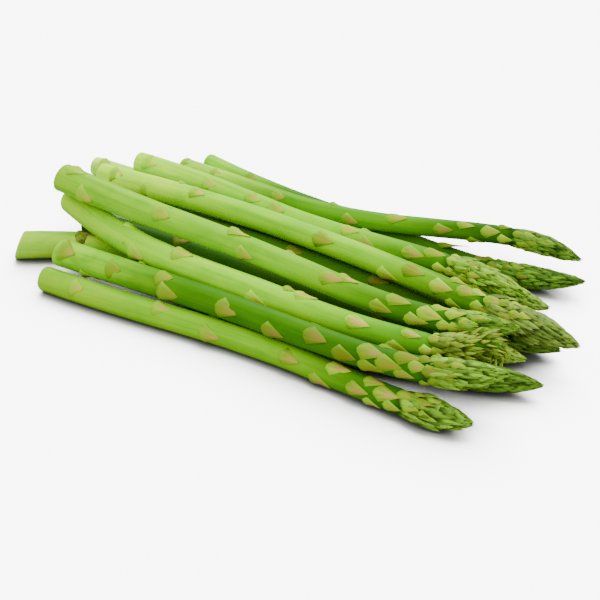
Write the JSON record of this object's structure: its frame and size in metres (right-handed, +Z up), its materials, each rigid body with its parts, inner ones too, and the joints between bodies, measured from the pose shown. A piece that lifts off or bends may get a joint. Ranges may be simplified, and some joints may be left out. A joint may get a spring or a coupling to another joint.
{
  "type": "bundle of asparagus",
  "caption": "Loose untied bundle of green asparagus spears lying flat, cut ends together at one end and pointed bud tips fanned out at the other.",
  "frame": {"origin": "middle of the bundle's bounding box, on the surface it lies on", "axes": "+X along the spears from the cut ends to the tips, +Z up from the surface the bundle lies on, +Y across the bundle, away from the front spear"},
  "size_m": [0.2824, 0.1404, 0.0412],
  "materials": {
    "spear": "fresh green plant skin, satin, with paler scale leaves and yellow-green bud tips"
  },
  "bodies": {
    "root": {"spear_a": "spear", "spear_b": "spear", "spear_c": "spear", "spear_d": "spear", "spear_e": "spear", "spear_f": "spear", "spear_g": "spear", "spear_h": "spear", "spear_i": "spear", "spear_j": "spear", "spear_k": "spear", "spear_l": "spear"}
  },
  "joints": []
}
